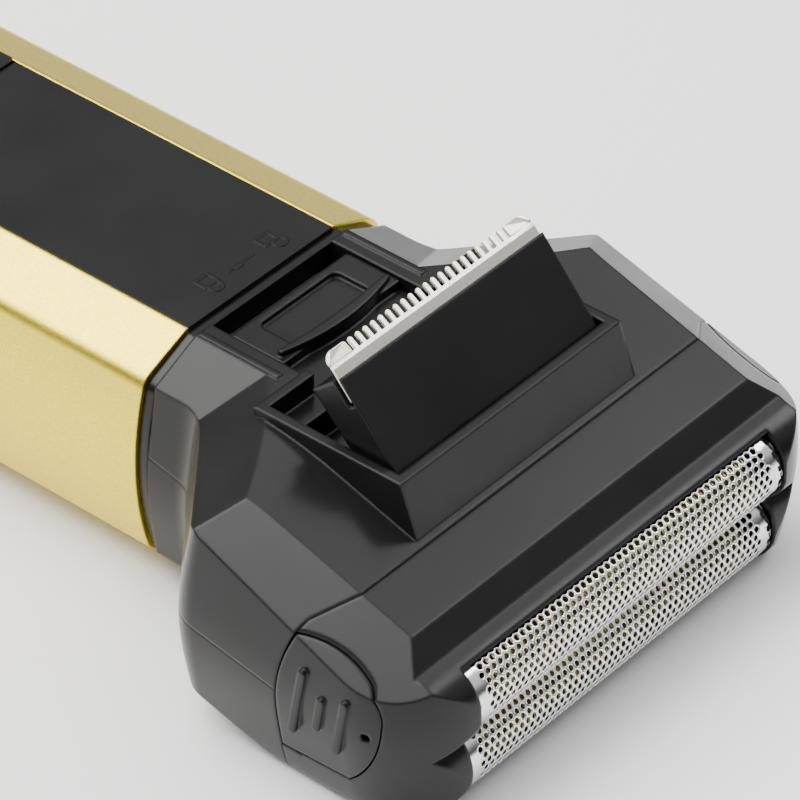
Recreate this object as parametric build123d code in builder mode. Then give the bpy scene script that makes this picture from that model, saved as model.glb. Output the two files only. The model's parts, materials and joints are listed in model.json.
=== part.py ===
"""Foil shaver with a flip-up trimmer, lying on its front face.

X runs across the head, Y from the foils (-Y) to the base of the handle (+Y),
Z up.  The origin is on the resting surface, under the middle of the whole
shaver.  Millimetres.
"""

from build123d import *
from math import cos, radians, sin, tan
import os

os.makedirs("parts", exist_ok=True)

# ---------------------------------------------------------------- overall
overall_length = 150.0
head_length = 52.0
end_cap_length = 4.0
body_width = 41.0
body_height = 29.0
body_bottom = 1.0
head_half_width = 34.4
head_top = 30.0

# ---------------------------------------------------------------- handle
sleeve_wall = 1.6
facet_half_width = body_width / 2 - 8.6
panel_half_width = facet_half_width - 0.3
facet_edge_x = body_width / 2 - 1.9
facet_drop = 2.8
panel_thickness = 0.8
panel_gap = 0.08
mark_rise = 0.1
pad_length = 47.0
pad_rise = 0.35
collar_length = 1.4
collar_inset = 0.5

# ---------------------------------------------------------------- control panel
control_half_width = 9.0
control_length = 62.0
control_start = 12.0
button_radius = 6.0
button_ahead = 34.0
button_gap = 0.25
button_travel = 0.8
button_sink = 0.3
light_radius = 0.9
light_pitch = 4.0

# ---------------------------------------------------------------- head shell
neck_half_width = body_width / 2 - 0.3
waist_z = 14.0
upper_tiers = [(2.5, 2), (3.5, 7), (11.0, 12)]
lower_tiers = [(4.0, 4), (5.0, 9), (5.0, 17)]
belly_fillet = 2.3
front_corner = 11.0
flare_corner = 4.0
flare_sweep = 4.0
split_tilt = 10.0
split_z = 15.6
seam_gap = 0.1

# ---------------------------------------------------------------- foils
foil_half_length = 25.0
foil_radius = 4.33
foil_wall = 0.3
foil_leg = 3.0
foil_pitch = 8.97
foil_tilt = 7.04
foil_float = 1.0
foil_side_gap = 0.2
cutter_half_length = foil_half_length - 3.5
stroke = 1.0

# ---------------------------------------------------------------- trimmer
trimmer_half_width = 16.2
trimmer_angle = 48.6
trimmer_reach = 12.1
trimmer_face = 2.3
trimmer_thickness = 5.1
blade_half_width = trimmer_half_width - 0.2
blade_reach = 2.3
tooth_pitch = 1.19
end_tab = 3.5
tooth_count = int(2 * (blade_half_width - end_tab) / tooth_pitch)
tooth_depth = 1.3
well_half_width = trimmer_half_width + 1.6
well_wall = 1.2
well_floor = 25.0
well_rim = 31.1
pivot_radius = 1.0
spring_radius = 1.45
slide_half_width = 9.4

# ---------------------------------------------------------------- drive
motor_radius = 8.0
motor_length = 26.0
motor_clearance = 0.4
motor_z = 12.5
shaft_radius = 1.0
cam_radius = 3.6
crank_radius = 0.8
post_radius = 1.4
battery_radius = 7.1
battery_length = 50.0

# ---------------------------------------------------------------- derived
sleeve_front = head_length - overall_length / 2
sleeve_back = overall_length / 2 - end_cap_length
half_body = body_width / 2
body_top = body_bottom + body_height
body_mid = body_bottom + body_height / 2


def ahead(distance):
    """Y of a station measured forwards from the front edge of the sleeve."""
    return sleeve_front - distance


foil_low_y = ahead(46.1)
foil_low_z = 5.5
foil_high_y = foil_low_y - foil_pitch * sin(radians(foil_tilt))
foil_high_z = foil_low_z + foil_pitch * cos(radians(foil_tilt))
inward = Vector(0, cos(radians(foil_tilt)), sin(radians(foil_tilt)))
pivot_y = ahead(31.6)
pivot_z = 28.5


def block(x, y, z, mode=Mode.ADD):
    """A box between pairs of limits on each axis."""
    middle = ((x[0] + x[1]) / 2, (y[0] + y[1]) / 2, (z[0] + z[1]) / 2)
    with Locations(middle):
        Box(abs(x[1] - x[0]), abs(y[1] - y[0]), abs(z[1] - z[0]), mode=mode)


def rod_y(x, z, radius, y0, y1, mode=Mode.ADD):
    """A round bar along Y."""
    with BuildSketch(Plane.XZ.offset(-y0)) as disc:
        with Locations((x, z)):
            Circle(radius)
    extrude(disc.sketch, amount=y0 - y1, mode=mode)


def save(part, name):
    """Label a finished piece and write it."""
    part.label = name
    export_step(part, f"parts/{name}.step")


# ================================================================= handle
def body_outline(inset=0.0):
    """The handle's cross-section: flat faces, narrow facets, curved sides."""
    side = half_body - inset
    low = body_bottom + inset
    high = body_top - inset
    edge = facet_edge_x - inset * 0.8
    with BuildLine() as outline:
        flat = Line((0, high), (facet_half_width, high))
        facet = Line(flat @ 1, (edge, high - facet_drop))
        flank = ThreePointArc(facet @ 1, (side, body_mid), (edge, low + facet_drop))
        under = Line(flank @ 1, (facet_half_width, low))
        Line(under @ 1, (0, low))
        mirror(about=Plane.YZ)
    make_face(outline.edges())


def round_outline(sketch, crisp, soft):
    """Round the section: crisp beside the flat faces, soft beside the sides."""
    corners = [v for v in sketch.vertices() if 1 < abs(v.X) < facet_half_width + 0.5]
    fillet(corners, radius=crisp)
    corners = [v for v in sketch.vertices() if abs(abs(v.X) - half_body) < 4 and abs(v.Z - body_mid) > 4]
    corners = [v for v in corners if abs(v.X) > facet_half_width + 2.5]
    fillet(corners, radius=soft)


def control_outline(grow=0.0):
    """Rounded outline of the control panel, in the XY plane."""
    middle = sleeve_front + control_start + control_length / 2
    with Locations((0, middle)):
        SlotOverall(control_length + 2 * grow, 2 * (control_half_width + grow), rotation=90)


button_y = sleeve_front + button_ahead

with BuildPart() as gold_sleeve:
    with BuildSketch(Plane.XZ.offset(-sleeve_front)) as sleeve_section:
        body_outline()
        round_outline(sleeve_section, 0.5, 2.5)
    extrude(amount=sleeve_front - sleeve_back)
    with BuildSketch(Plane.XZ.offset(-sleeve_front)) as bore_section:
        body_outline(sleeve_wall)
        round_outline(bore_section, 0.5, 1.5)
    extrude(amount=sleeve_front - sleeve_back, mode=Mode.SUBTRACT)
    block(
        (-panel_half_width, panel_half_width),
        (sleeve_front - 1, sleeve_back + 1),
        (body_top - panel_thickness, body_top + 1),
        Mode.SUBTRACT,
    )
    with BuildSketch(Plane.XY.offset(-1)):
        control_outline(panel_gap)
    extrude(amount=body_bottom + 1 + panel_thickness, mode=Mode.SUBTRACT)
    with BuildSketch(Plane.XY.offset(-1)):
        with Locations((0, button_y)):
            Circle(button_radius + 2)
        with Locations((0, button_y + 14)):
            Rectangle(4, 20)
    extrude(amount=10, mode=Mode.SUBTRACT)
save(gold_sleeve.part, "gold_sleeve")

panel_split = sleeve_back - pad_length


def padlock(x, y, open_shackle):
    """A small generic padlock outline, its shackle towards the head."""
    shift = 0.7 if open_shackle else 0.0
    with Locations((x + shift, y - 1.3)):
        Circle(1.0)
        Circle(0.65, mode=Mode.SUBTRACT)
    with Locations((x, y)):
        Rectangle(2.3, 1.9)
        Rectangle(1.6, 1.2, mode=Mode.SUBTRACT)


with BuildPart() as back_panel:
    block(
        (panel_gap - panel_half_width, panel_half_width - panel_gap),
        (sleeve_front, panel_split - panel_gap),
        (body_top - panel_thickness, body_top),
    )
    with BuildSketch(Plane.XY.offset(body_top)):
        padlock(-4.4, ahead(-3.9), False)
        padlock(5.2, ahead(-3.9), True)
        with Locations((0.3, ahead(-3.2))):
            Rectangle(4.2, 0.3)
        with Locations((-0.3, ahead(-2.9))):
            Rectangle(1.2, 0.3)
    extrude(amount=mark_rise)
save(back_panel.part, "back_panel")

with BuildPart() as grip_pad:
    block(
        (panel_gap - panel_half_width, panel_half_width - panel_gap),
        (panel_split, sleeve_back - 1.5),
        (body_top - panel_thickness, body_top + pad_rise),
    )
    fillet(grip_pad.edges().filter_by(Axis.Z), radius=0.6)
    for row in range(12):
        y = panel_split + 6 + row * 3
        with Locations((0, y, body_top + pad_rise)):
            Cylinder(0.35, 18, rotation=(0, 90, 0), mode=Mode.SUBTRACT)
save(grip_pad.part, "grip_pad")

with BuildPart() as control_panel:
    with BuildSketch(Plane.XY):
        control_outline()
    extrude(amount=body_bottom + panel_thickness)
    fillet(control_panel.faces().sort_by(Axis.Z)[0].edges(), radius=0.4)
    with Locations((0, button_y, 0)):
        Cylinder(button_radius + button_gap, 10, mode=Mode.SUBTRACT)
    for step in range(3):
        with Locations((0, button_y + 12 + step * light_pitch, 0)):
            Cylinder(light_radius, 10, mode=Mode.SUBTRACT)
save(control_panel.part, "control_panel")

with BuildPart() as power_button:
    with BuildSketch(Plane.XY.offset(button_sink)):
        with Locations((0, button_y)):
            Circle(button_radius)
    extrude(amount=body_bottom + panel_thickness - button_sink)
    fillet(power_button.faces().sort_by(Axis.Z)[0].edges(), radius=0.35)
    with BuildSketch(Plane.XY.offset(body_bottom + panel_thickness + 0.05)):
        with Locations((0, button_y)):
            Circle(button_radius + 1.2)
    extrude(amount=0.7)
    with BuildSketch(Plane.XY.offset(body_bottom + panel_thickness - 0.5)):
        with Locations((0, button_y)):
            Circle(button_radius - 1)
    extrude(amount=1.25)
    with Locations((0, button_y, button_sink)):
        Torus(3.6, 0.25, mode=Mode.SUBTRACT)
save(power_button.part, "power_button")

switch_top = body_bottom + panel_thickness + 0.75 + button_travel + 0.1
board_z = switch_top + 1.6

with BuildPart() as tact_switch:
    block((-3, 3), (button_y - 3, button_y + 3), (switch_top + 0.4, board_z))
    with BuildSketch(Plane.XY.offset(switch_top)):
        with Locations((0, button_y)):
            Circle(1.6)
    extrude(amount=0.4)
save(tact_switch.part, "tact_switch")

with BuildPart() as button_light_pipe:
    for step in range(3):
        with Locations((0, button_y + 12 + step * light_pitch, body_bottom + 0.8)):
            Cylinder(light_radius - 0.02, body_bottom + 1.2)
    block(
        (-1.6, 1.6),
        (button_y + 10, button_y + 22),
        (body_bottom + panel_thickness + 0.05, body_bottom + panel_thickness + 1.0),
    )
save(button_light_pipe.part, "battery_lights")

# ---------------------------------------------------------------- end cap
socket_radius = 3.4
socket_bore = 1.8
socket_length = 13.0

with BuildPart() as end_cap:
    with BuildSketch(Plane.XZ.offset(-sleeve_back)) as cap_section:
        body_outline(0.15)
        round_outline(cap_section, 0.5, 2.5)
    extrude(amount=-end_cap_length)
    fillet(end_cap.faces().sort_by(Axis.Y)[-1].edges(), radius=1.6)
    with BuildSketch(Plane.XZ.offset(-sleeve_back)) as plug_section:
        body_outline(sleeve_wall + 0.1)
        round_outline(plug_section, 0.5, 1.5)
    extrude(amount=3.0)
    rod_y(0, body_mid, socket_radius, sleeve_back - 5, sleeve_back + 9, Mode.SUBTRACT)
save(end_cap.part, "end_cap")

socket_face = sleeve_back + end_cap_length

with BuildPart() as charging_socket:
    rod_y(0, body_mid, socket_radius, socket_face - socket_length, socket_face)
    rod_y(0, body_mid, socket_bore, socket_face - 9.0, socket_face + 1, Mode.SUBTRACT)
    for x in (-1.5, 1.5):
        block(
            (x - 0.3, x + 0.3),
            (socket_face - socket_length - 3, socket_face - socket_length),
            (body_mid - 1, body_mid + 1),
        )
save(charging_socket.part, "charging_socket")

# ---------------------------------------------------------------- inside
battery_z = board_z + 1.6 + battery_radius + 1.0
battery_y0 = sleeve_back - 17 - battery_length
chassis_y0 = battery_y0 - 3
chassis_y1 = battery_y0 + battery_length + 3

with BuildPart() as circuit_board:
    block((-9, 9), (button_y - 16, sleeve_back - 12), (board_z, board_z + 1.2))
    for y in (button_y - 10, button_y + 9, button_y + 24):
        block((-4, 3), (y - 2, y + 3), (board_z + 1.2, board_z + 2.2))
save(circuit_board.part, "circuit_board")

with BuildPart() as chassis:
    block((-10.5, 10.5), (chassis_y0, chassis_y1), (board_z + 2.3, battery_z + 4))
    rod_y(0, battery_z, battery_radius + 0.3, battery_y0 - 0.8,
          battery_y0 + battery_length + 0.8, Mode.SUBTRACT)
    block((-8, 8), (chassis_y0 - 1, chassis_y1 + 1),
          (battery_z, battery_z + 10), Mode.SUBTRACT)
save(chassis.part, "battery_tray")

with BuildPart() as battery:
    rod_y(0, battery_z, battery_radius, battery_y0, battery_y0 + battery_length)
    fillet(battery.edges(), radius=0.5)
    rod_y(0, battery_z, 2.2, battery_y0 - 0.6, battery_y0 + 0.5)
save(battery.part, "battery")

with BuildPart() as collar_ring:
    with BuildSketch(Plane.XZ.offset(-ahead(collar_length))) as ring_section:
        body_outline(collar_inset)
        round_outline(ring_section, 0.5, 2.2)
    extrude(amount=-collar_length)
    with BuildSketch(Plane.XZ.offset(-ahead(collar_length))) as ring_bore:
        body_outline(sleeve_wall + 0.6)
        round_outline(ring_bore, 0.5, 1.5)
    extrude(amount=-collar_length, mode=Mode.SUBTRACT)
    rod_y(0, motor_z, motor_radius + motor_clearance, ahead(collar_length + 1), ahead(-1), Mode.SUBTRACT)
save(collar_ring.part, "collar_ring")

# ================================================================= head shell
arc_start = ahead(13.0)
arc_end = (ahead(26.2), 28.03)
crown_end = (ahead(44.45), 22.45)
brow_end = (ahead(47.0), 19.85)
flare_rear = (neck_half_width, ahead(7.3))
flare_front = (head_half_width, ahead(18.6))


def head_plan():
    """Plan of the head at its widest level, sketched on XY."""
    nose = ahead(head_length)
    with BuildLine() as outline:
        Polyline(
            (0, ahead(collar_length)),
            (neck_half_width, ahead(collar_length)),
            flare_rear,
            flare_front,
            (head_half_width, nose),
            (0, nose),
        )
        mirror(about=Plane.YZ)
    make_face(outline.edges())


def head_profile():
    """Side view of the head: flat back, sloping crown, two round lips."""
    with BuildLine() as outline:
        rear = ahead(collar_length)
        Line((rear, 1.2), (rear, head_top))
        Line((rear, head_top), (arc_start, head_top))
        ThreePointArc((arc_start, head_top), (ahead(19.8), 29.5), arc_end)
        Line(arc_end, crown_end)
        Line(crown_end, brow_end)
        upper_lip = ThreePointArc(
            brow_end, (foil_high_y - 4.75, foil_high_z + 0.6), (ahead(49.3), 10.0)
        )
        lower_lip = ThreePointArc(upper_lip @ 1, (foil_low_y - 4.7, foil_low_z), (ahead(47.4), 0.7))
        Line(lower_lip @ 1, (ahead(43.0), 0))
        Line((ahead(43.0), 0), (ahead(13.0), 0))
        Line((ahead(13.0), 0), (rear, 1.2))
    make_face(outline.edges())


diagonal_band = Plane(
    origin=(facet_half_width, ahead(10.6), 29.7),
    x_dir=(15.5, -12.5, -0.4),
    z_dir=Vector(15.5, -12.5, -0.4).cross(Vector(5.6, 3.2, -2.9)),
)
side_band = Plane(
    origin=(head_half_width - 6.9, ahead(23.1), 29.0),
    x_dir=(0, -14.8, -4.55),
    z_dir=Vector(0, -14.8, -4.55).cross(Vector(4.9, 3.8, -2.3)),
)
neck_band = Plane(origin=(facet_half_width, 0, head_top), z_dir=(3.1, 0, 6.6))


def mirrored(plane):
    """The same plane on the other side of the head."""
    return Plane(
        origin=(-plane.origin.X, plane.origin.Y, plane.origin.Z),
        z_dir=(-plane.z_dir.X, plane.z_dir.Y, plane.z_dir.Z),
    )


def plan_at(level, inset):
    """The head's plan at one height, drawn in by an inset."""
    with BuildSketch(Plane.XY.offset(level)) as plan:
        head_plan()
        fillet(plan.vertices().group_by(Axis.Y)[0], radius=front_corner)
        fillet([v for v in plan.vertices() if abs(v.Y - flare_front[1]) < 0.01], flare_corner)
        fillet([v for v in plan.vertices() if abs(v.Y - flare_rear[1]) < 0.01], flare_sweep)
        if inset:
            offset(amount=-inset, kind=Kind.INTERSECTION)
        with Locations((0, ahead(collar_length) - 2)):
            Rectangle(2 * (neck_half_width - inset), 4)
    return plan.sketch


def tier_plans(tiers, direction):
    """Plans at the end of each tier, going up or down from the waist."""
    level, inset = waist_z, 0.0
    plans = []
    for height, draft in tiers:
        level += direction * height
        inset += height * tan(radians(draft))
        plans.append(plan_at(level, inset))
    return plans


with BuildPart() as shoulder_cut:
    block((0, 50), (ahead(-2), ahead(60)), (body_mid, head_top + 5))
    split(bisect_by=neck_band, keep=Keep.TOP)
    split(bisect_by=diagonal_band, keep=Keep.TOP)
    mirror(about=Plane.YZ)

with BuildPart() as head_shape:
    below = tier_plans(lower_tiers, -1)
    above = tier_plans(upper_tiers, 1)
    loft(sections=[*reversed(below), plan_at(waist_z, 0.0), *above])
    belly = head_shape.faces().sort_by(Axis.Z)[0].edges()
    fillet(belly.filter_by(lambda e: e.center().Y < flare_rear[1] - 3), radius=belly_fillet)
    with BuildSketch(Plane.YZ) as side_view:
        head_profile()
    extrude(side_view.sketch, amount=head_half_width + 5, both=True, mode=Mode.INTERSECT)
    add(shoulder_cut.part, mode=Mode.SUBTRACT)
    add(shoulder_cut.part.mirror(Plane.XY.offset((head_top + 1.2) / 2)), mode=Mode.SUBTRACT)
    split(bisect_by=side_band, keep=Keep.BOTTOM)
    split(bisect_by=mirrored(side_band), keep=Keep.BOTTOM)

# ---------------------------------------------------------------- seams
seam_top = (ahead(37.9), 24.45)
seam_band = (ahead(34.6), 22.2)
seam_side = (ahead(33.9), 20.6)
seam_low = (ahead(31.9), 10.5)


def cassette_region(shift=0.0):
    """Side view of everything ahead of the seam, moved by a clearance."""
    far = ahead(head_length + 5)
    with BuildLine() as outline:
        Polyline(
            (seam_low[0] + shift, -2),
            (seam_low[0] + shift, seam_low[1]),
        )
        ThreePointArc(
            (seam_low[0] + shift, seam_low[1]),
            (ahead(32.5) + shift, 16.0),
            (seam_side[0] + shift, seam_side[1]),
        )
        Polyline(
            (seam_side[0] + shift, seam_side[1]),
            (seam_band[0] + shift, seam_band[1]),
            (seam_top[0] + shift, seam_top[1]),
            (seam_top[0] + shift, head_top + 2),
            (far, head_top + 2),
            (far, -2),
            (seam_low[0] + shift, -2),
        )
    make_face(outline.edges())


def button_region(grow=0.0):
    """Side view of a release button: straight back edge, round front."""
    with BuildLine() as outline:
        upper = ThreePointArc((ahead(34.4), 21.2), (ahead(40.0), 20.4), (ahead(43.6), 18.9))
        nose = ThreePointArc(upper @ 1, (ahead(45.1), 17.0), (ahead(45.4), 14.5))
        lower = ThreePointArc(nose @ 1, (ahead(44.1), 9.4), (ahead(41.2), 5.5))
        base = Line(lower @ 1, (seam_low[0] - 0.1, 4.9))
        back = Line(base @ 1, (seam_low[0] - 0.1, seam_low[1]))
        ThreePointArc(back @ 1, (ahead(32.6), 16.0), upper @ 0)
    make_face(outline.edges())
    if grow:
        offset(amount=grow, kind=Kind.ARC)


split_plane = Plane(
    origin=(0, ahead(16.5), split_z),
    z_dir=(0, -sin(radians(split_tilt)), cos(radians(split_tilt))),
)
cavity_top = motor_z + motor_radius + 1.0
cavity_low = motor_z - motor_radius - 1.3
neck_cavity = 14.5
head_cavity = head_half_width - 5.9
pocket_x = head_half_width - 5.8
button_back = head_half_width - 4.2
release_travel = 1.2
tongue_y = (ahead(26.9), ahead(34.0))
tongue_z = (8.0, 16.0)
deck_front = ahead(31.4)
deck_back = ahead(30.2)
screw_x = 23.0
screw_y = ahead(22.0)


def cut_cavity():
    """Hollow the head for the motor, the drive and the cutter posts."""
    block((-neck_cavity, neck_cavity), (ahead(0), ahead(40)), (cavity_low, cavity_top), Mode.SUBTRACT)
    block((-head_cavity, head_cavity), (ahead(20), ahead(40)), (2.2, cavity_top), Mode.SUBTRACT)


def cut_tongue_slots():
    """Slots in the side walls for the release buttons' guide tongues."""
    for side in (-1, 1):
        block(
            (side * (head_cavity - 1), side * (button_back + 1.4 + 0.2)),
            (tongue_y[0] + 0.3, tongue_y[1]),
            (tongue_z[0] - 0.2, tongue_z[1] + 0.2),
            Mode.SUBTRACT,
        )


# ---------------------------------------------------------------- trimmer frame
hinge = Vector(0, pivot_y, pivot_z)
rise_dir = Vector(0, cos(radians(trimmer_angle)), sin(radians(trimmer_angle)))
trimmer_plane = Plane(origin=hinge, x_dir=rise_dir, z_dir=(1, 0, 0))
well_back = ahead(14.7)
well_lip = ahead(34.7)
well_foot = ahead(37.2)
ledge_y = ahead(18.8)
ledge_z = 28.3
channel_y = ahead(1.65)
channel_floor = 27.0
channel_half_width = 9.6

with BuildPart() as upper_casing:
    add(head_shape.part)
    split(bisect_by=split_plane, keep=Keep.TOP)
    with BuildSketch(Plane.YZ) as collar_view:
        with BuildLine():
            Polyline(
                (well_back, well_rim - 0.3),
                (well_lip, well_rim),
                (well_foot, well_floor - 1),
                (well_back - 1, well_floor - 1),
                (well_back, well_rim - 0.3),
            )
        make_face()
    extrude(collar_view.sketch, amount=well_half_width, both=True)
    with BuildSketch(Plane.YZ) as well_view:
        with BuildLine():
            Polyline(
                (well_back - well_wall, well_rim + 1),
                (well_lip + well_wall, well_rim + 1),
                (well_lip + well_wall, well_rim),
                (well_foot + well_wall, well_floor),
                (ledge_y, well_floor),
                (ledge_y, ledge_z),
                (well_back - well_wall, ledge_z),
                (well_back - well_wall, well_rim + 1),
            )
        make_face()
    extrude(well_view.sketch, amount=well_half_width - well_wall, both=True, mode=Mode.SUBTRACT)
    block(
        (-channel_half_width, channel_half_width),
        (channel_y, ledge_y),
        (channel_floor, well_rim + 1),
        Mode.SUBTRACT,
    )
    for side in (-1, 1):
        block(
            (side * (channel_half_width + 1.6), side * (channel_half_width + 2.4)),
            (ahead(1.7), ahead(12.9)),
            (head_top - 0.1, head_top + 0.25),
        )
    cut_cavity()
    cut_tongue_slots()
    with BuildSketch(Plane.YZ) as seam_view:
        cassette_region(seam_gap)
    extrude(seam_view.sketch, amount=50, both=True, mode=Mode.SUBTRACT)
    with Locations((0, pivot_y, pivot_z)):
        Cylinder(pivot_radius, 2 * (well_half_width - 0.4), rotation=(0, 90, 0), mode=Mode.SUBTRACT)
save(upper_casing.part, "upper_casing")

with BuildPart() as lower_casing:
    add(head_shape.part)
    split(bisect_by=split_plane, keep=Keep.BOTTOM)
    cut_cavity()
    cut_tongue_slots()
    with BuildSketch(Plane.YZ):
        cassette_region(seam_gap)
    extrude(amount=50, both=True, mode=Mode.SUBTRACT)
    for side in (-1, 1):
        with BuildSketch(Plane.XY.offset(1)):
            with Locations((side * screw_x, screw_y)):
                Circle(3)
        extrude(amount=10)
        with Locations((side * screw_x, screw_y, 0)):
            Cylinder(2.3, 4.4, mode=Mode.SUBTRACT)
            Cylinder(1.1, 24, mode=Mode.SUBTRACT)
save(lower_casing.part, "lower_casing")

for side, name in ((-1, "casing_screw_left"), (1, "casing_screw_right")):
    with BuildPart() as screw:
        with BuildSketch(Plane.XY.offset(0.3)):
            with Locations((side * screw_x, screw_y)):
                Circle(2.1)
        extrude(amount=1.9)
        with BuildSketch(Plane.XY.offset(2.0)):
            with Locations((side * screw_x, screw_y)):
                Circle(1.1)
        extrude(amount=8.5)
        block((side * screw_x - 1.5, side * screw_x + 1.5), (screw_y - 0.3, screw_y + 0.3),
              (0, 1.1), Mode.SUBTRACT)
        block((side * screw_x - 0.3, side * screw_x + 0.3), (screw_y - 1.5, screw_y + 1.5),
              (0, 1.1), Mode.SUBTRACT)
    save(screw.part, name)

# ================================================================= foil frame
window_gap = foil_half_length + foil_side_gap
window_top = foil_high_z + foil_radius + 0.45

with BuildPart() as foil_frame:
    add(head_shape.part)
    with BuildSketch(Plane.YZ) as front_view:
        cassette_region()
    extrude(front_view.sketch, amount=50, both=True, mode=Mode.INTERSECT)
    block((-window_gap, window_gap), (ahead(28), ahead(46.4)), (1.0, brow_end[1] + 0.05), Mode.SUBTRACT)
    block((-window_gap, window_gap), (ahead(28), ahead(60)), (1.0, window_top), Mode.SUBTRACT)
    block((-window_gap, window_gap), (ahead(28), ahead(41)), (1.0, 21.0), Mode.SUBTRACT)
    with BuildSketch(Plane.YZ) as pocket_view:
        button_region(0.2)
        with Locations((ahead(33.05), 13.0)):
            Rectangle(3.1, 16.8)
    extrude(pocket_view.sketch, amount=60, both=True, mode=Mode.SUBTRACT)

with BuildPart() as cheek_backing:
    add(head_shape.part)
    with BuildSketch(Plane.YZ) as backing_view:
        cassette_region()
    extrude(backing_view.sketch, amount=50, both=True, mode=Mode.INTERSECT)
    block((-window_gap, window_gap), (ahead(28), ahead(46.4)), (1.0, brow_end[1] + 0.05), Mode.SUBTRACT)
    block((-window_gap, window_gap), (ahead(28), ahead(60)), (1.0, window_top), Mode.SUBTRACT)
    block((-window_gap, window_gap), (ahead(28), ahead(41)), (1.0, 21.0), Mode.SUBTRACT)
    block((-pocket_x, -50), (ahead(20), ahead(60)), (-1, 40), Mode.SUBTRACT)
    block((pocket_x, 50), (ahead(20), ahead(60)), (-1, 40), Mode.SUBTRACT)

with BuildPart() as cassette:
    add(foil_frame.part)
    add(cheek_backing.part)
save(cassette.part, "foil_frame")

for side, word in ((-1, "left"), (1, "right")):
    with BuildPart() as release:
        add(head_shape.part)
        with BuildSketch(Plane.YZ) as release_view:
            button_region()
        extrude(release_view.sketch, amount=50, both=True, mode=Mode.INTERSECT)
        block((side * button_back, side * -50), (ahead(20), ahead(60)), (-1, 40), Mode.SUBTRACT)
        for y, z, long in ((ahead(35.1), 13.2, 9.4), (ahead(38.0), 13.1, 4.8), (ahead(40.9), 12.9, 7.8)):
            with BuildSketch(Plane.YZ.offset(side * (button_back + 1))) as rib:
                with Locations((y, z)):
                    SlotOverall(long, 1.0, rotation=100)
            extrude(rib.sketch, amount=side * (head_half_width + 0.35 - button_back - 1))
        block(
            (side * button_back, side * (button_back + 1.4)),
            (tongue_y[0], tongue_y[1]),
            tongue_z,
        )
        with BuildSketch(Plane.YZ.offset(side * (button_back + 1.6))) as pin_hole:
            with Locations((ahead(43.8), 12.9)):
                Circle(0.55)
        extrude(pin_hole.sketch, amount=side * 5, mode=Mode.SUBTRACT)
    save(release.part, f"release_button_{word}")
    with BuildPart() as release_spring:
        with BuildSketch(Plane.YZ.offset(side * (button_back - 3.2))) as coil:
            with Locations((ahead(28.4), 12.0)):
                Circle(1.3)
                Circle(0.9, mode=Mode.SUBTRACT)
        extrude(coil.sketch, amount=side * 3.2)
    save(release_spring.part, f"release_spring_{word}")

# ---------------------------------------------------------------- foils
for word, y, z in (("upper", foil_high_y, foil_high_z), ("lower", foil_low_y, foil_low_z)):
    foil_plane = Plane(origin=(0, y, z), x_dir=inward, z_dir=(1, 0, 0))
    inner = foil_radius - foil_wall
    cutter_radius = inner - 0.3
    with BuildPart() as foil:
        with BuildSketch(foil_plane) as foil_section:
            Circle(foil_radius)
            with Locations((foil_leg / 2, 0)):
                Rectangle(foil_leg, 2 * foil_radius)
            Circle(inner, mode=Mode.SUBTRACT)
            with Locations((foil_leg / 2 + 0.01, 0)):
                Rectangle(foil_leg + 0.1, 2 * inner, mode=Mode.SUBTRACT)
            with Locations((foil_leg + foil_radius, 0)):
                Rectangle(2 * foil_radius, 3 * foil_radius, mode=Mode.SUBTRACT)
        extrude(amount=foil_half_length, both=True)
    save(foil.part, f"foil_{word}")
    with BuildPart() as carrier:
        with BuildSketch(foil_plane) as ring_section:
            with Locations((foil_leg + 1.1, 0)):
                Rectangle(1.8, 2 * foil_radius)
        extrude(amount=foil_half_length, both=True)
        with BuildSketch(foil_plane) as opening_section:
            with Locations((foil_leg + 1.1, 0)):
                Rectangle(3, 2 * (inner - 0.08))
        extrude(amount=foil_half_length - 2, both=True, mode=Mode.SUBTRACT)
        for side in (-1, 1):
            with BuildSketch(foil_plane.offset(side * (foil_half_length - 1.4))) as disc_section:
                Circle(inner - 0.1)
                with Locations((2, 0)):
                    Rectangle(4, 2 * inner - 0.2)
                with Locations((foil_leg + 0.5 + inner, 0)):
                    Rectangle(2 * inner, 4 * inner, mode=Mode.SUBTRACT)
            extrude(disc_section.sketch, amount=side * 1.1)
    save(carrier.part, f"foil_carrier_{word}")
    with BuildPart() as cutter:
        with BuildSketch(foil_plane) as cutter_section:
            Circle(cutter_radius)
            with Locations((0.6 + cutter_radius, 0)):
                Rectangle(2 * cutter_radius, 3 * cutter_radius, mode=Mode.SUBTRACT)
            Circle(cutter_radius - 1.2, mode=Mode.SUBTRACT)
        extrude(amount=cutter_half_length, both=True)
        with BuildSketch(foil_plane) as core_section:
            with Locations((-1.0, 0)):
                Rectangle(3.0, 2 * (cutter_radius - 1.2))
        extrude(core_section.sketch, amount=cutter_half_length, both=True)
        hub_plane = Plane(origin=(0, y, z) + inward * -0.5, z_dir=inward)
        with BuildSketch(hub_plane) as hub_section:
            Circle(2.3)
        extrude(hub_section.sketch, amount=4.6)
        with BuildSketch(hub_plane.offset(-1.7)) as hub_bore:
            Circle(post_radius + 0.06)
        extrude(hub_bore.sketch, amount=8, mode=Mode.SUBTRACT)
    save(cutter.part, f"cutter_{word}")

# ================================================================= drive
bridge_y = (ahead(22.0), ahead(24.0))

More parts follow.
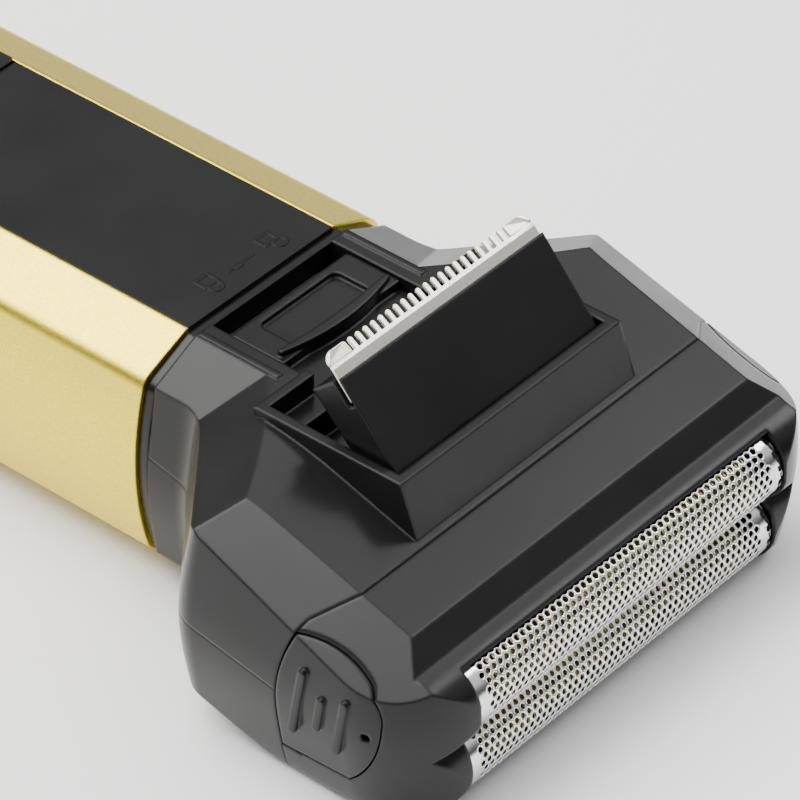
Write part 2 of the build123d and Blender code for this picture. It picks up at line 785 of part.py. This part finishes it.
with BuildPart() as drive_deck:
    block((-head_cavity + 0.1, head_cavity - 0.1), (deck_front, deck_back), (2.3, cavity_top - 0.1))
    for y, z in ((foil_high_y, foil_high_z), (foil_low_y, foil_low_z)):
        hole_z = z + (deck_front - y) * tan(radians(foil_tilt))
        block((-3.4, 3.4), (deck_front - 1, deck_back + 1), (hole_z - 2.0, hole_z + 2.2), Mode.SUBTRACT)
    for side in (-1, 1):
        block((side * (button_back - 5.6), side * (button_back - 2.2)), (deck_back, ahead(26.4)), (9.6, 14.4))
        with BuildSketch(Plane.YZ.offset(side * (button_back - 5.0))) as seat:
            with Locations((ahead(28.4), 12.0)):
                Circle(1.45)
        extrude(seat.sketch, amount=side * 4, mode=Mode.SUBTRACT)
save(drive_deck.part, "drive_deck")

with BuildPart() as drive_bridge:
    block((-8, 8), bridge_y, (3.4, 19.6))
    block((-3.1, 3.1), (bridge_y[0] + 1, bridge_y[1] - 1), (motor_z - 2.3, motor_z + 2.3), Mode.SUBTRACT)
    with Locations((0, (bridge_y[0] + bridge_y[1]) / 2, 4.8)):
        Cylinder(0.86, 30, rotation=(0, 90, 0), mode=Mode.SUBTRACT)
    for y, z in ((foil_high_y, foil_high_z), (foil_low_y, foil_low_z)):
        post_plane = Plane(origin=(0, y, z) + inward * -1.0, z_dir=inward)
        reach = (bridge_y[1] - y) / inward.Y + 1.5
        with BuildSketch(post_plane) as post_section:
            Circle(post_radius)
        extrude(post_section.sketch, amount=reach)
save(drive_bridge.part, "drive_bridge")

motor_front = ahead(13.0)

with BuildPart() as bridge_rail:
    with Locations((0, (bridge_y[0] + bridge_y[1]) / 2, 4.8)):
        Cylinder(0.8, 27, rotation=(0, 90, 0))
save(bridge_rail.part, "bridge_rail")

with BuildPart() as motor:
    rod_y(0, motor_z, motor_radius, motor_front, motor_front + motor_length)
    fillet(motor.edges(), radius=0.6)
    rod_y(0, motor_z, 2.5, motor_front - 0.8, motor_front + 1)
    rod_y(0, motor_z, shaft_radius + 0.05, motor_front - 1, motor_front + 6, Mode.SUBTRACT)
save(motor.part, "motor")

with BuildPart() as motor_mount:
    block(
        (0.5 - neck_cavity, neck_cavity - 0.5),
        (motor_front - 1.6, motor_front - 0.05),
        (3.5, cavity_top - 0.5),
    )
    rod_y(0, motor_z, 4.2, motor_front - 3, motor_front + 1, Mode.SUBTRACT)
    for side in (-1, 1):
        block((side * 11.8, side * 14.0), (motor_front, bridge_y[1] - 0.4), (3.5, 6.4))
    with Locations((0, (bridge_y[0] + bridge_y[1]) / 2, 4.8)):
        Cylinder(0.8, 27, rotation=(0, 90, 0), mode=Mode.SUBTRACT)
save(motor_mount.part, "motor_mount")

with BuildPart() as motor_rotor:
    rod_y(0, motor_z, shaft_radius, motor_front - 6.4, motor_front + 5)
    rod_y(0, motor_z, cam_radius, motor_front - 6.4, motor_front - 2.6)
    rod_y(stroke, motor_z, crank_radius, motor_front - 10.4, motor_front - 6.4)
save(motor_rotor.part, "motor_rotor")

# ================================================================= trimmer
slide_y = (ahead(4.0), ahead(16.2))

with BuildPart() as trimmer_slide:
    block((-slide_half_width, slide_half_width), slide_y, (channel_floor + 0.05, head_top - 0.3))
    fillet(trimmer_slide.edges().filter_by(Axis.Z), radius=0.5)
    with BuildSketch(Plane.XY.offset(head_top - 0.9)):
        with Locations((0, ahead(7.6))):
            RectangleRounded(12.4, 5.2, 1.0)
    extrude(amount=2, mode=Mode.SUBTRACT)
    block((-slide_half_width - 1, slide_half_width + 1), (ahead(11.4), ahead(17)),
          (head_top - 1.4, head_top + 1), Mode.SUBTRACT)
    with BuildSketch(Plane.XY.offset(head_top - 1.5)) as ridge:
        with BuildLine():
            front = ThreePointArc((-8.7, ahead(10.6)), (0, ahead(11.9)), (8.7, ahead(10.6)))
            rear = ThreePointArc((-8.7, ahead(10.0)), (0, ahead(10.5)), (8.7, ahead(10.0)))
            Line(front @ 0, rear @ 0)
            Line(front @ 1, rear @ 1)
        make_face()
    extrude(amount=1.9)
save(trimmer_slide.part, "trimmer_slide")

with BuildPart() as trimmer_body:
    with BuildSketch(trimmer_plane) as body_section:
        with BuildLine():
            Polyline(
                (-1.4, trimmer_face),
                (trimmer_reach, trimmer_face),
                (trimmer_reach, trimmer_face - trimmer_thickness),
                (1.0, -2.2),
            )
            ThreePointArc((1.0, -2.2), (-2.0, -0.6), (-1.4, trimmer_face))
        make_face()
    extrude(amount=trimmer_half_width, both=True)
    with BuildSketch(trimmer_plane) as slot_section:
        with Locations((trimmer_reach, 1.45)):
            Rectangle(6.4, 0.9)
    extrude(slot_section.sketch, amount=trimmer_half_width + 1, both=True, mode=Mode.SUBTRACT)
    with Locations((0, pivot_y, pivot_z)):
        Cylinder(pivot_radius + 0.06, 40, rotation=(0, 90, 0), mode=Mode.SUBTRACT)
        Cylinder(spring_radius + 0.3, 5.0, rotation=(0, 90, 0), mode=Mode.SUBTRACT)
save(trimmer_body.part, "trimmer_body")

with BuildPart() as pivot_pin:
    with Locations((0, pivot_y, pivot_z)):
        Cylinder(pivot_radius, 2 * (well_half_width - 0.5), rotation=(0, 90, 0))
save(pivot_pin.part, "trimmer_pivot_pin")

with BuildPart() as torsion_spring:
    with Locations((0, pivot_y, pivot_z)):
        Cylinder(spring_radius, 4.2, rotation=(0, 90, 0))
        Cylinder(pivot_radius, 6, rotation=(0, 90, 0), mode=Mode.SUBTRACT)
save(torsion_spring.part, "trimmer_spring")


def toothed_blade(half_width, low, high, root, tip, count):
    """A flat strip with a comb edge, in the trimmer's own plane."""
    with BuildSketch(trimmer_plane) as strip:
        with Locations(((root + tip) / 2, (low + high) / 2)):
            Rectangle(tip - root, high - low)
    extrude(strip.sketch, amount=half_width, both=True)
    for index in range(count):
        centre = (index - (count - 1) / 2) * tooth_pitch
        with BuildSketch(trimmer_plane.offset(centre - 0.2)) as gap:
            with Locations((tip, (low + high) / 2)):
                Rectangle(2 * tooth_depth, 2)
        extrude(gap.sketch, amount=0.5, mode=Mode.SUBTRACT)


with BuildPart() as trimmer_comb:
    toothed_blade(blade_half_width, 1.5, 1.88, 9.2, trimmer_reach + blade_reach, tooth_count)
save(trimmer_comb.part, "trimmer_comb")

with BuildPart() as trimmer_cutter:
    toothed_blade(blade_half_width - 2, 1.04, 1.44, 9.2, trimmer_reach + blade_reach - 0.4, tooth_count)
save(trimmer_cutter.part, "trimmer_cutter")
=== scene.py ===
"""Looks of the foil shaver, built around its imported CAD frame.  Metres throughout."""

import json
import math

import bmesh
import bpy
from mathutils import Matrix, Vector


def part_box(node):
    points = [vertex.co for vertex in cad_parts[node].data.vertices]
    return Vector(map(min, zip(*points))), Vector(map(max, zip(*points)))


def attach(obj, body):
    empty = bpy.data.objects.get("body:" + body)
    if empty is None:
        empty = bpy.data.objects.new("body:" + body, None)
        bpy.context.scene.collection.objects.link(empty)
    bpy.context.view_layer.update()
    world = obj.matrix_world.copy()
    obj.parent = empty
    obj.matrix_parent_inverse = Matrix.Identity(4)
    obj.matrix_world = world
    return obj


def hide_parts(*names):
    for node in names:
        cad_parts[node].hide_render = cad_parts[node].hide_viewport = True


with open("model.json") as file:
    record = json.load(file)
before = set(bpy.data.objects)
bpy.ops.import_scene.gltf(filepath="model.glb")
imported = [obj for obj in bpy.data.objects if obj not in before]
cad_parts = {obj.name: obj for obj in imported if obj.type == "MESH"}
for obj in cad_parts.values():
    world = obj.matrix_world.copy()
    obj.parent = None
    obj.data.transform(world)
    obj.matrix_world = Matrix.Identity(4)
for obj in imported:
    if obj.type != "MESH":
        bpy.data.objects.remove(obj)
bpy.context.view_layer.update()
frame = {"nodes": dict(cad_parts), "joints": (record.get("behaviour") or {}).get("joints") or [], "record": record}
nodes = frame["nodes"]
MM = 0.001


# ---------------------------------------------------------------- camera and light
CAMERA_AIM = Vector((3.1, -39.8, 20.0)) * MM
CAMERA_AZIMUTH = -49.5
CAMERA_ELEVATION = 38.9
CAMERA_DISTANCE = 0.6305
LENS_MM = 266.5
SENSOR_MM = 36.0

LIGHT_AIM = Vector((0, -20, 15)) * MM
WHITE = (1, 1, 1)
WARM_WHITE = (1.0, 0.99, 0.97)
# azimuth and elevation in degrees, distance and side in metres, power in watts, colour
LIGHTS = {
    "key": (-155, 62, 0.9, 0.90, 19.0, WARM_WHITE),
    "foils": (70, 46, 1.0, 0.36, 2.6, WHITE),
    "rim": (112, 56, 1.0, 0.5, 1.3, WHITE),
    "cheek": (-95, 60, 1.0, 0.4, 1.6, WHITE),
}

FLOOR_HALF = 3.0
FLOOR_COLOR = (0.90, 0.90, 0.90, 1)
FLOOR_ROUGHNESS = 0.6

# the sky by the height of the direction looked in: 0 level with the object, 1 overhead
SKY_LEVEL = (0.02, (0.40, 0.41, 0.42))
SKY_OVERHEAD = (1.0, (1.0, 1.0, 1.0))
SKY_GREYS = ((0.12, 0.05), (0.28, 0.22), (0.45, 0.70))
SKY_BLUE_SHARE = 1.03


def look(thing, location, back):
    """Place a camera or light so that it looks along minus back, with Z up."""
    thing.rotation_mode = "QUATERNION"
    thing.rotation_quaternion = (-Vector(back)).to_track_quat("-Z", "Y")
    thing.location = location


def direction(azimuth, elevation):
    """Unit vector from the object towards a viewer; azimuth 0 stands at -Y."""
    a, e = math.radians(azimuth), math.radians(elevation)
    return Vector((math.sin(a) * math.cos(e), -math.cos(a) * math.cos(e), math.sin(e)))


def make_camera():
    """A long lens close over the head, as in a product close-up."""
    back = direction(CAMERA_AZIMUTH, CAMERA_ELEVATION)
    data = bpy.data.cameras.new("camera")
    data.sensor_width = SENSOR_MM
    data.lens = LENS_MM
    camera = bpy.data.objects.new("camera", data)
    bpy.context.scene.collection.objects.link(camera)
    look(camera, CAMERA_AIM + back * CAMERA_DISTANCE, back)
    bpy.context.scene.camera = camera


def make_floor():
    """A large pale sheet under the shaver."""
    mesh = bpy.data.meshes.new("floor")
    half = FLOOR_HALF
    corners = [(-half, -half, 0), (half, -half, 0), (half, half, 0), (-half, half, 0)]
    mesh.from_pydata(corners, [], [(0, 1, 2, 3)])
    floor = bpy.data.objects.new("floor", mesh)
    bpy.context.scene.collection.objects.link(floor)
    material = bpy.data.materials.new("floor_paper")
    material.use_nodes = True
    shader = material.node_tree.nodes["Principled BSDF"]
    shader.inputs["Base Color"].default_value = FLOOR_COLOR
    shader.inputs["Roughness"].default_value = FLOOR_ROUGHNESS
    floor.data.materials.append(material)


def area_light(name, azimuth, elevation, distance, side, power, color):
    """A square soft box aimed at the head."""
    data = bpy.data.lights.new(name, "AREA")
    data.shape = "SQUARE"
    data.size = side
    data.energy = power
    data.color = color
    light = bpy.data.objects.new(name, data)
    bpy.context.scene.collection.objects.link(light)
    back = direction(azimuth, elevation)
    look(light, LIGHT_AIM + back * distance, back)


def studio_sky():
    """A pale ceiling over darker walls, so that polished metal has something to show."""
    world = bpy.data.worlds.new("studio")
    bpy.context.scene.world = world
    world.use_nodes = True
    tree = world.node_tree
    place = tree.nodes.new("ShaderNodeTexCoord")
    parts = tree.nodes.new("ShaderNodeSeparateXYZ")
    ramp = tree.nodes.new("ShaderNodeValToRGB")
    tree.links.new(place.outputs["Generated"], parts.inputs["Vector"])
    tree.links.new(parts.outputs["Z"], ramp.inputs["Fac"])
    stops = ramp.color_ramp.elements
    for stop, (height, color) in zip(stops, (SKY_LEVEL, SKY_OVERHEAD)):
        stop.position = height
        stop.color = (*color, 1)
    for height, grey in SKY_GREYS:
        stops.new(height).color = (grey, grey, grey * SKY_BLUE_SHARE, 1)
    background = tree.nodes["Background"]
    background.inputs["Strength"].default_value = 1.0
    tree.links.new(ramp.outputs["Color"], background.inputs["Color"])


make_camera()
make_floor()
for light_name, light_values in LIGHTS.items():
    area_light(light_name, *light_values)
studio_sky()


# ---------------------------------------------------------------- materials
# noise scales, in features a metre
MOTTLE = 90
HANDLING_MARKS = 160
SPARK_GRAIN = 5200
GOLD_SPARKLE = 9000
GOLD_STREAKS = 1400
BRUSHED_TINT = 1500
BRUSHED_GLOSS = 2500
BRUSHED_RELIEF = 6000

# the part of a noise's 0 to 1 that its values mostly fill
NOISE_LOW, NOISE_HIGH = 0.3, 0.7
BEVEL_SAMPLES = 6


def fill(node, values):
    """Set a node's inputs by name; an underscore stands for a space."""
    for key, value in values.items():
        node.inputs[key.replace("_", " ")].default_value = value


class Recipe:
    """A node material under construction."""

    def __init__(self, name):
        self.material = bpy.data.materials.new(name)
        self.material.use_nodes = True
        self.tree = self.material.node_tree
        self.shader = self.tree.nodes["Principled BSDF"]
        self.place = self.add("ShaderNodeTexCoord").outputs["Object"]

    def add(self, kind, **inputs):
        """A new node with some of its inputs set."""
        node = self.tree.nodes.new(kind)
        fill(node, inputs)
        return node

    def link(self, out, into):
        self.tree.links.new(out, into)

    def noise(self, scale, detail, stretch=(1, 1, 1)):
        """Noise over the object's own coordinates, squeezed along each axis by stretch."""
        mapping = self.add("ShaderNodeMapping", Scale=stretch)
        node = self.add("ShaderNodeTexNoise", Scale=scale, Detail=detail)
        self.link(self.place, mapping.inputs["Vector"])
        self.link(mapping.outputs["Vector"], node.inputs["Vector"])
        return node.outputs["Fac"]

    def color(self, source, low, high, start=0.35, end=0.65):
        """Colour the surface between two tints by a 0 to 1 value."""
        node = self.add("ShaderNodeValToRGB")
        stops = node.color_ramp.elements
        for stop, position, tint in zip(stops, (start, end), (low, high)):
            stop.position = position
            stop.color = (*tint, 1)
        self.link(source, node.inputs["Fac"])
        self.link(node.outputs["Color"], self.shader.inputs["Base Color"])

    def rough(self, source, low, high):
        """Vary the roughness between two values by a 0 to 1 value."""
        node = self.add("ShaderNodeMapRange", From_Min=NOISE_LOW, From_Max=NOISE_HIGH,
                        To_Min=low, To_Max=high)
        self.link(source, node.inputs["Value"])
        self.link(node.outputs["Result"], self.shader.inputs["Roughness"])

    def bump(self, source, height, rounding):
        """Surface relief of a height in metres, over edges rounded in the shading."""
        edge = self.add("ShaderNodeBevel", Radius=rounding)
        edge.samples = BEVEL_SAMPLES
        node = self.add("ShaderNodeBump", Strength=1.0, Distance=height)
        self.link(source, node.inputs["Height"])
        self.link(edge.outputs["Normal"], node.inputs["Normal"])
        self.link(node.outputs["Normal"], self.shader.inputs["Normal"])


def moulded(name, tints, gloss, grain=0.000004, rounding=0.00025, specular=0.26):
    """Moulded plastic: fine spark-eroded grain, faint handling marks, soft edges."""
    recipe = Recipe(name)
    recipe.color(recipe.noise(MOTTLE, 4), *tints)
    recipe.rough(recipe.noise(HANDLING_MARKS, 5), *gloss)
    recipe.bump(recipe.noise(SPARK_GRAIN, 2), grain, rounding)
    fill(recipe.shader, {"Specular_IOR_Level": specular})
    return recipe.material


def gold_paint(name):
    """Satin gold metal with a fine sparkle."""
    recipe = Recipe(name)
    sparkle = recipe.noise(GOLD_SPARKLE, 2)
    recipe.color(sparkle, (0.69, 0.52, 0.035), (0.90, 0.73, 0.085), 0.38, 0.62)
    recipe.rough(recipe.noise(GOLD_STREAKS, 4, (5, 1, 5)), 0.27, 0.38)
    recipe.bump(sparkle, 0.000012, 0.0004)
    fill(recipe.shader, {"Metallic": 1.0})
    return recipe.material


def metal(name, tints, gloss, stretch=(1, 1, 1), grain=0.000002, rounding=0.0001):
    """Metal with directional brushing."""
    recipe = Recipe(name)
    recipe.color(recipe.noise(BRUSHED_TINT, 4, stretch), *tints)
    recipe.rough(recipe.noise(BRUSHED_GLOSS, 4, stretch), *gloss)
    recipe.bump(recipe.noise(BRUSHED_RELIEF, 3, stretch), grain, rounding)
    fill(recipe.shader, {"Metallic": 1.0})
    return recipe.material


BLACK = ((0.0045, 0.0046, 0.0048), (0.0068, 0.0069, 0.0072))

# by material slot: two tints, the lowest and highest roughness, and what differs from usual
PLASTICS = {
    "satin_black_plastic": dict(tints=BLACK, gloss=(0.20, 0.27), rounding=0.0005),
    "matte_black_panel": dict(tints=BLACK, gloss=(0.38, 0.46), grain=0.000010, specular=0.18),
    "gloss_black_panel": dict(tints=BLACK, gloss=(0.06, 0.11), grain=0.000001, specular=0.5),
    "inner_plastic": dict(tints=((0.009, 0.009, 0.0095), (0.014, 0.014, 0.015)),
                          gloss=(0.36, 0.5)),
    "clear_light_pipe": dict(tints=((0.55, 0.6, 0.65), (0.65, 0.7, 0.75)), gloss=(0.12, 0.2)),
    "circuit_board": dict(tints=((0.01, 0.08, 0.03), (0.02, 0.12, 0.05)), gloss=(0.3, 0.4)),
    "battery_wrap": dict(tints=((0.02, 0.08, 0.25), (0.03, 0.1, 0.3)), gloss=(0.2, 0.3)),
    "white_acetal": dict(tints=((0.70, 0.70, 0.68), (0.78, 0.78, 0.76)), gloss=(0.35, 0.45)),
}
METALS = {
    "button_metal": dict(tints=((0.62, 0.62, 0.64), (0.74, 0.74, 0.76)), gloss=(0.18, 0.28)),
    "socket_metal": dict(tints=((0.6, 0.45, 0.2), (0.7, 0.55, 0.28)), gloss=(0.2, 0.3)),
    "bright_steel": dict(tints=((0.5, 0.5, 0.51), (0.64, 0.64, 0.65)), gloss=(0.22, 0.35)),
    "blade_steel": dict(tints=((0.84, 0.80, 0.68), (0.93, 0.90, 0.80)), gloss=(0.26, 0.36),
                        stretch=(1, 6, 6)),
    "foil_chrome": dict(tints=((0.78, 0.78, 0.78), (0.90, 0.90, 0.89)), gloss=(0.10, 0.17),
                        stretch=(6, 1, 1), grain=0.000001, rounding=0.00004),
    "gold_cutter": dict(tints=((0.34, 0.28, 0.10), (0.52, 0.44, 0.18)), gloss=(0.3, 0.42)),
}
MATERIALS = {"gold_anodised": gold_paint("gold_anodised")}
MATERIALS.update({slot: moulded(slot, **finish) for slot, finish in PLASTICS.items()})
MATERIALS.update({slot: metal(slot, **finish) for slot, finish in METALS.items()})

for subpart in frame["record"]["subparts"]:
    surface = nodes[subpart["node"]].data.materials
    surface.clear()
    surface.append(MATERIALS[subpart["material_slot"]])


# ---------------------------------------------------------------- pieces
def piece(name, build, body, slot, node, smooth=False):
    """A new mesh that stands for a CAD node, rides on its body and has its slot's finish."""
    shape = bmesh.new()
    build(shape)
    bmesh.ops.recalc_face_normals(shape, faces=shape.faces)
    mesh = bpy.data.meshes.new(name)
    shape.to_mesh(mesh)
    shape.free()
    thing = bpy.data.objects.new(name, mesh)
    bpy.context.scene.collection.objects.link(thing)
    mesh.materials.append(MATERIALS[slot])
    if smooth:
        mesh.shade_smooth()
    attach(thing, body)
    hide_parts(node)
    return thing


def thicken(sheet, thickness, offset):
    """Give a sheet its thickness; offset -1 puts it all on the inside, 0 half on each side."""
    solidify = sheet.modifiers.new("thickness", "SOLIDIFY")
    solidify.thickness = thickness
    solidify.offset = offset


FOIL_TILT = math.radians(7.04)
INWARD = Vector((0, math.cos(FOIL_TILT), math.sin(FOIL_TILT)))
UPWARD = Vector((0, -math.sin(FOIL_TILT), math.cos(FOIL_TILT)))
FOIL_RADIUS = 4.33 * MM
FOIL_HALF = 25.0 * MM
FOIL_LEG = 3.0 * MM
FOIL_THICKNESS = 0.15 * MM
FOIL_QUARTER = FOIL_RADIUS * math.pi / 2  # arc length from the front line to a leg
HOLE_PITCH = 0.98 * MM
HOLE_RADIUS = 0.335 * MM
END_BAND = 1.9 * MM  # plain metal at each end
LEG_HOLES = 0.6 * MM  # how far the holes run on down the legs
SLIVER = 0.05 * MM  # a tile cut narrower than this at an edge is left out
FOIL_WELD = 0.01 * MM
TILE_CORNERS = 12


def foil_centre(node):
    """Centre of a foil's round nose, from its node's box."""
    low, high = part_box(node)
    front, top = low.y + FOIL_RADIUS, high.z - FOIL_RADIUS - FOIL_LEG * math.sin(FOIL_TILT)
    return Vector((0, front, top))


def on_foil(centre, x, s):
    """Point at x along the foil and arc length s from its front line, upwards."""
    if abs(s) <= FOIL_QUARTER:
        turn = s / FOIL_RADIUS
        u, v = -FOIL_RADIUS * math.cos(turn), FOIL_RADIUS * math.sin(turn)
    else:
        u, v = abs(s) - FOIL_QUARTER, math.copysign(FOIL_RADIUS, s)
    return centre + Vector((x, 0, 0)) + INWARD * u + UPWARD * v


def tile_turns():
    """The directions of a tile's corners and side middles, in turn."""
    return [math.radians(360 / TILE_CORNERS * k) for k in range(TILE_CORNERS)]


def clamp(value, limit):
    return max(-limit, min(limit, value))


def perforated(centre):
    """A foil sheet tiled with hexagons; the patterned ones hold a round hole."""
    def build(shape):
        limit = FOIL_QUARTER + FOIL_LEG
        row_step = HOLE_PITCH * math.sqrt(3) / 2
        middle_reach, corner_reach = HOLE_PITCH / 2, HOLE_PITCH / math.sqrt(3)
        rows = int(limit / row_step) + 1
        columns = int(FOIL_HALF / HOLE_PITCH) + 1
        for row in range(-rows, rows + 1):
            for column in range(-columns, columns + 1):
                cx = (column + 0.5 * (row % 2)) * HOLE_PITCH
                cs = row * row_step
                rim = []
                for k, turn in enumerate(tile_turns()):
                    reach = corner_reach if k % 2 else middle_reach
                    rim.append((clamp(cx + reach * math.cos(turn), FOIL_HALF),
                                clamp(cs + reach * math.sin(turn), limit)))
                width = max(p[0] for p in rim) - min(p[0] for p in rim)
                height = max(p[1] for p in rim) - min(p[1] for p in rim)
                if min(width, height) < SLIVER:
                    continue
                outer = [shape.verts.new(on_foil(centre, x, s)) for x, s in rim]
                if abs(cx) >= FOIL_HALF - END_BAND or abs(cs) >= FOIL_QUARTER + LEG_HOLES:
                    shape.faces.new(outer)
                    continue
                inner = [shape.verts.new(on_foil(centre, cx + HOLE_RADIUS * math.cos(turn),
                                                 cs + HOLE_RADIUS * math.sin(turn)))
                         for turn in tile_turns()]
                for k in range(TILE_CORNERS):
                    after = (k + 1) % TILE_CORNERS
                    shape.faces.new((outer[k], outer[after], inner[after], inner[k]))
        bmesh.ops.remove_doubles(shape, verts=shape.verts, dist=FOIL_WELD)
    return build


CUTTER_RADIUS = 3.70 * MM
CORE_RADIUS = 2.85 * MM
CORE_WALL = 0.3 * MM
CORE_OVERLAP = 0.05 * MM  # how far the core reaches into its blades
BLADE_PITCH = 1.0 * MM
BLADE_HALF = 0.12 * MM
BLADE_COUNT = 43
ARC_STEPS = 14


def half_round(shape, centre, x0, x1, outer, inner):
    """A solid half ring between two stations across the head."""
    rings = []
    for x in (x0, x1):
        ring = []
        for radius, order in ((outer, range(ARC_STEPS + 1)), (inner, range(ARC_STEPS, -1, -1))):
            for k in order:
                turn = math.radians(-90 + 180 * k / ARC_STEPS)
                ring.append(shape.verts.new(centre + Vector((x, 0, 0))
                                            - INWARD * radius * math.cos(turn)
                                            + UPWARD * radius * math.sin(turn)))
        rings.append(ring)
    first, second = rings
    total = len(first)
    for k in range(total):
        after = (k + 1) % total
        shape.faces.new((first[k], first[after], second[after], second[k]))
    for ring in rings:
        for k in range(ARC_STEPS):
            shape.faces.new((ring[k], ring[k + 1], ring[total - 2 - k], ring[total - 1 - k]))


def blades(centre):
    """A row of thin half-round cutter blades on a hollow half-round core."""
    def build(shape):
        for index in range(BLADE_COUNT):
            x = (index - (BLADE_COUNT - 1) / 2) * BLADE_PITCH
            half_round(shape, centre, x - BLADE_HALF, x + BLADE_HALF, CUTTER_RADIUS, CORE_RADIUS)
        end = BLADE_COUNT / 2 * BLADE_PITCH
        half_round(shape, centre, -end, end, CORE_RADIUS + CORE_OVERLAP, CORE_RADIUS - CORE_WALL)
    return build


TRIMMER_ANGLE = math.radians(48.6)
RISE = Vector((0, math.cos(TRIMMER_ANGLE), math.sin(TRIMMER_ANGLE)))
FACE = Vector((0, -math.sin(TRIMMER_ANGLE), math.cos(TRIMMER_ANGLE)))
HINGE = Vector(next(joint["pos_m"] for joint in frame["joints"] if joint["name"] == "trimmer_flip"))
BLADE_BEND = math.radians(16)
BLADE_FOOT = 9.3 * MM
TOOTH_PITCH = 1.19 * MM
TOOTH_COUNT = 21
TEETH_HALF = TOOTH_COUNT / 2 * TOOTH_PITCH
TAB_GAP = 0.15 * MM  # between the last tooth's share and an end tab
TAB_OUTER_ROUND = 1.3 * MM
TAB_INNER_ROUND = 0.35 * MM
BLADE_EDGE = 0.05 * MM
BLADE_WELD = 0.005 * MM


def bent(x, u, v, fold):
    """Point on a blade that leans back above its fold."""
    over = max(0.0, u - fold)
    return (HINGE + Vector((x, 0, 0)) + RISE * (min(u, fold) + over * math.cos(BLADE_BEND))
            + FACE * (v - over * math.sin(BLADE_BEND)))


def comb(half, v, fold, root, tip, tooth_share, tabs=False, shift=0.0):
    """A thin folded strip with rounded teeth and, on the fixed blade, broad end tabs."""
    def build(shape):
        def add(points):
            shape.faces.new([shape.verts.new(bent(x, u, v, fold)) for x, u in points])

        def turns(last, step):
            return [math.radians(t) for t in range(0, last + 1, step)]

        stations = [-half]
        for index in range(TOOTH_COUNT):
            middle = -TEETH_HALF + shift + (index + 0.5) * TOOTH_PITCH
            reach = TOOTH_PITCH * tooth_share / 2
            stations += [middle - reach, middle + reach]
        stations.append(half)
        for x0, x1 in zip(stations, stations[1:]):
            for low, high in ((BLADE_FOOT, fold), (fold, root)):
                add([(x0, low), (x1, low), (x1, high), (x0, high)])
        for x0, x1 in zip(stations[1:-1:2], stations[2:-1:2]):
            middle, reach = (x0 + x1) / 2, (x1 - x0) / 2
            arc = [(middle + reach * math.cos(t), tip - reach + reach * math.sin(t))
                   for t in turns(180, 30)]
            add([(x0, root), (x1, root), *arc])
        for side in (-1, 1) if tabs else ():
            inner, outer = side * (TEETH_HALF + TAB_GAP), side * half
            broad, small = side * TAB_OUTER_ROUND, side * TAB_INNER_ROUND
            near = [(inner + small * (1 - math.cos(t)), tip - TAB_INNER_ROUND * (1 - math.sin(t)))
                    for t in turns(90, 30)]
            wide = [(outer - broad * (1 - math.sin(t)), tip - TAB_OUTER_ROUND * (1 - math.cos(t)))
                    for t in turns(90, 15)]
            add([(inner, root), *near, *wide, (outer, root)])
        bmesh.ops.remove_doubles(shape, verts=shape.verts, dist=BLADE_WELD)
    return build


def trimmer_blade(name, build, body, node, thickness):
    """A thin trimmer blade with a fine broken edge."""
    sheet = piece(name, build, body, "blade_steel", node)
    thicken(sheet, thickness, 0)
    edge = sheet.modifiers.new("edge", "BEVEL")
    edge.width = BLADE_EDGE
    edge.segments = 2
    edge.limit_method = "ANGLE"


for word in ("upper", "lower"):
    nose = foil_centre(f"foil_{word}")
    foil_sheet = piece(f"foil_{word}_perforated", perforated(nose), f"foil_{word}_body",
                       "foil_chrome", f"foil_{word}", smooth=True)
    thicken(foil_sheet, FOIL_THICKNESS, -1)
    piece(f"cutter_{word}_blades", blades(nose), f"cutter_{word}_body", "gold_cutter",
          f"cutter_{word}")

fixed_comb = comb(half=16.1 * MM, v=1.69 * MM, fold=13.15 * MM, root=13.6 * MM, tip=15.0 * MM,
                  tooth_share=0.50, tabs=True)
moving_comb = comb(half=14.0 * MM, v=1.22 * MM, fold=13.0 * MM, root=13.5 * MM, tip=14.7 * MM,
                   tooth_share=0.45, shift=0.30 * MM)
trimmer_blade("comb_blade", fixed_comb, "trimmer_body_unit", "trimmer_comb", 0.34 * MM)
trimmer_blade("moving_blade", moving_comb, "trimmer_cutter_body", "trimmer_cutter", 0.30 * MM)
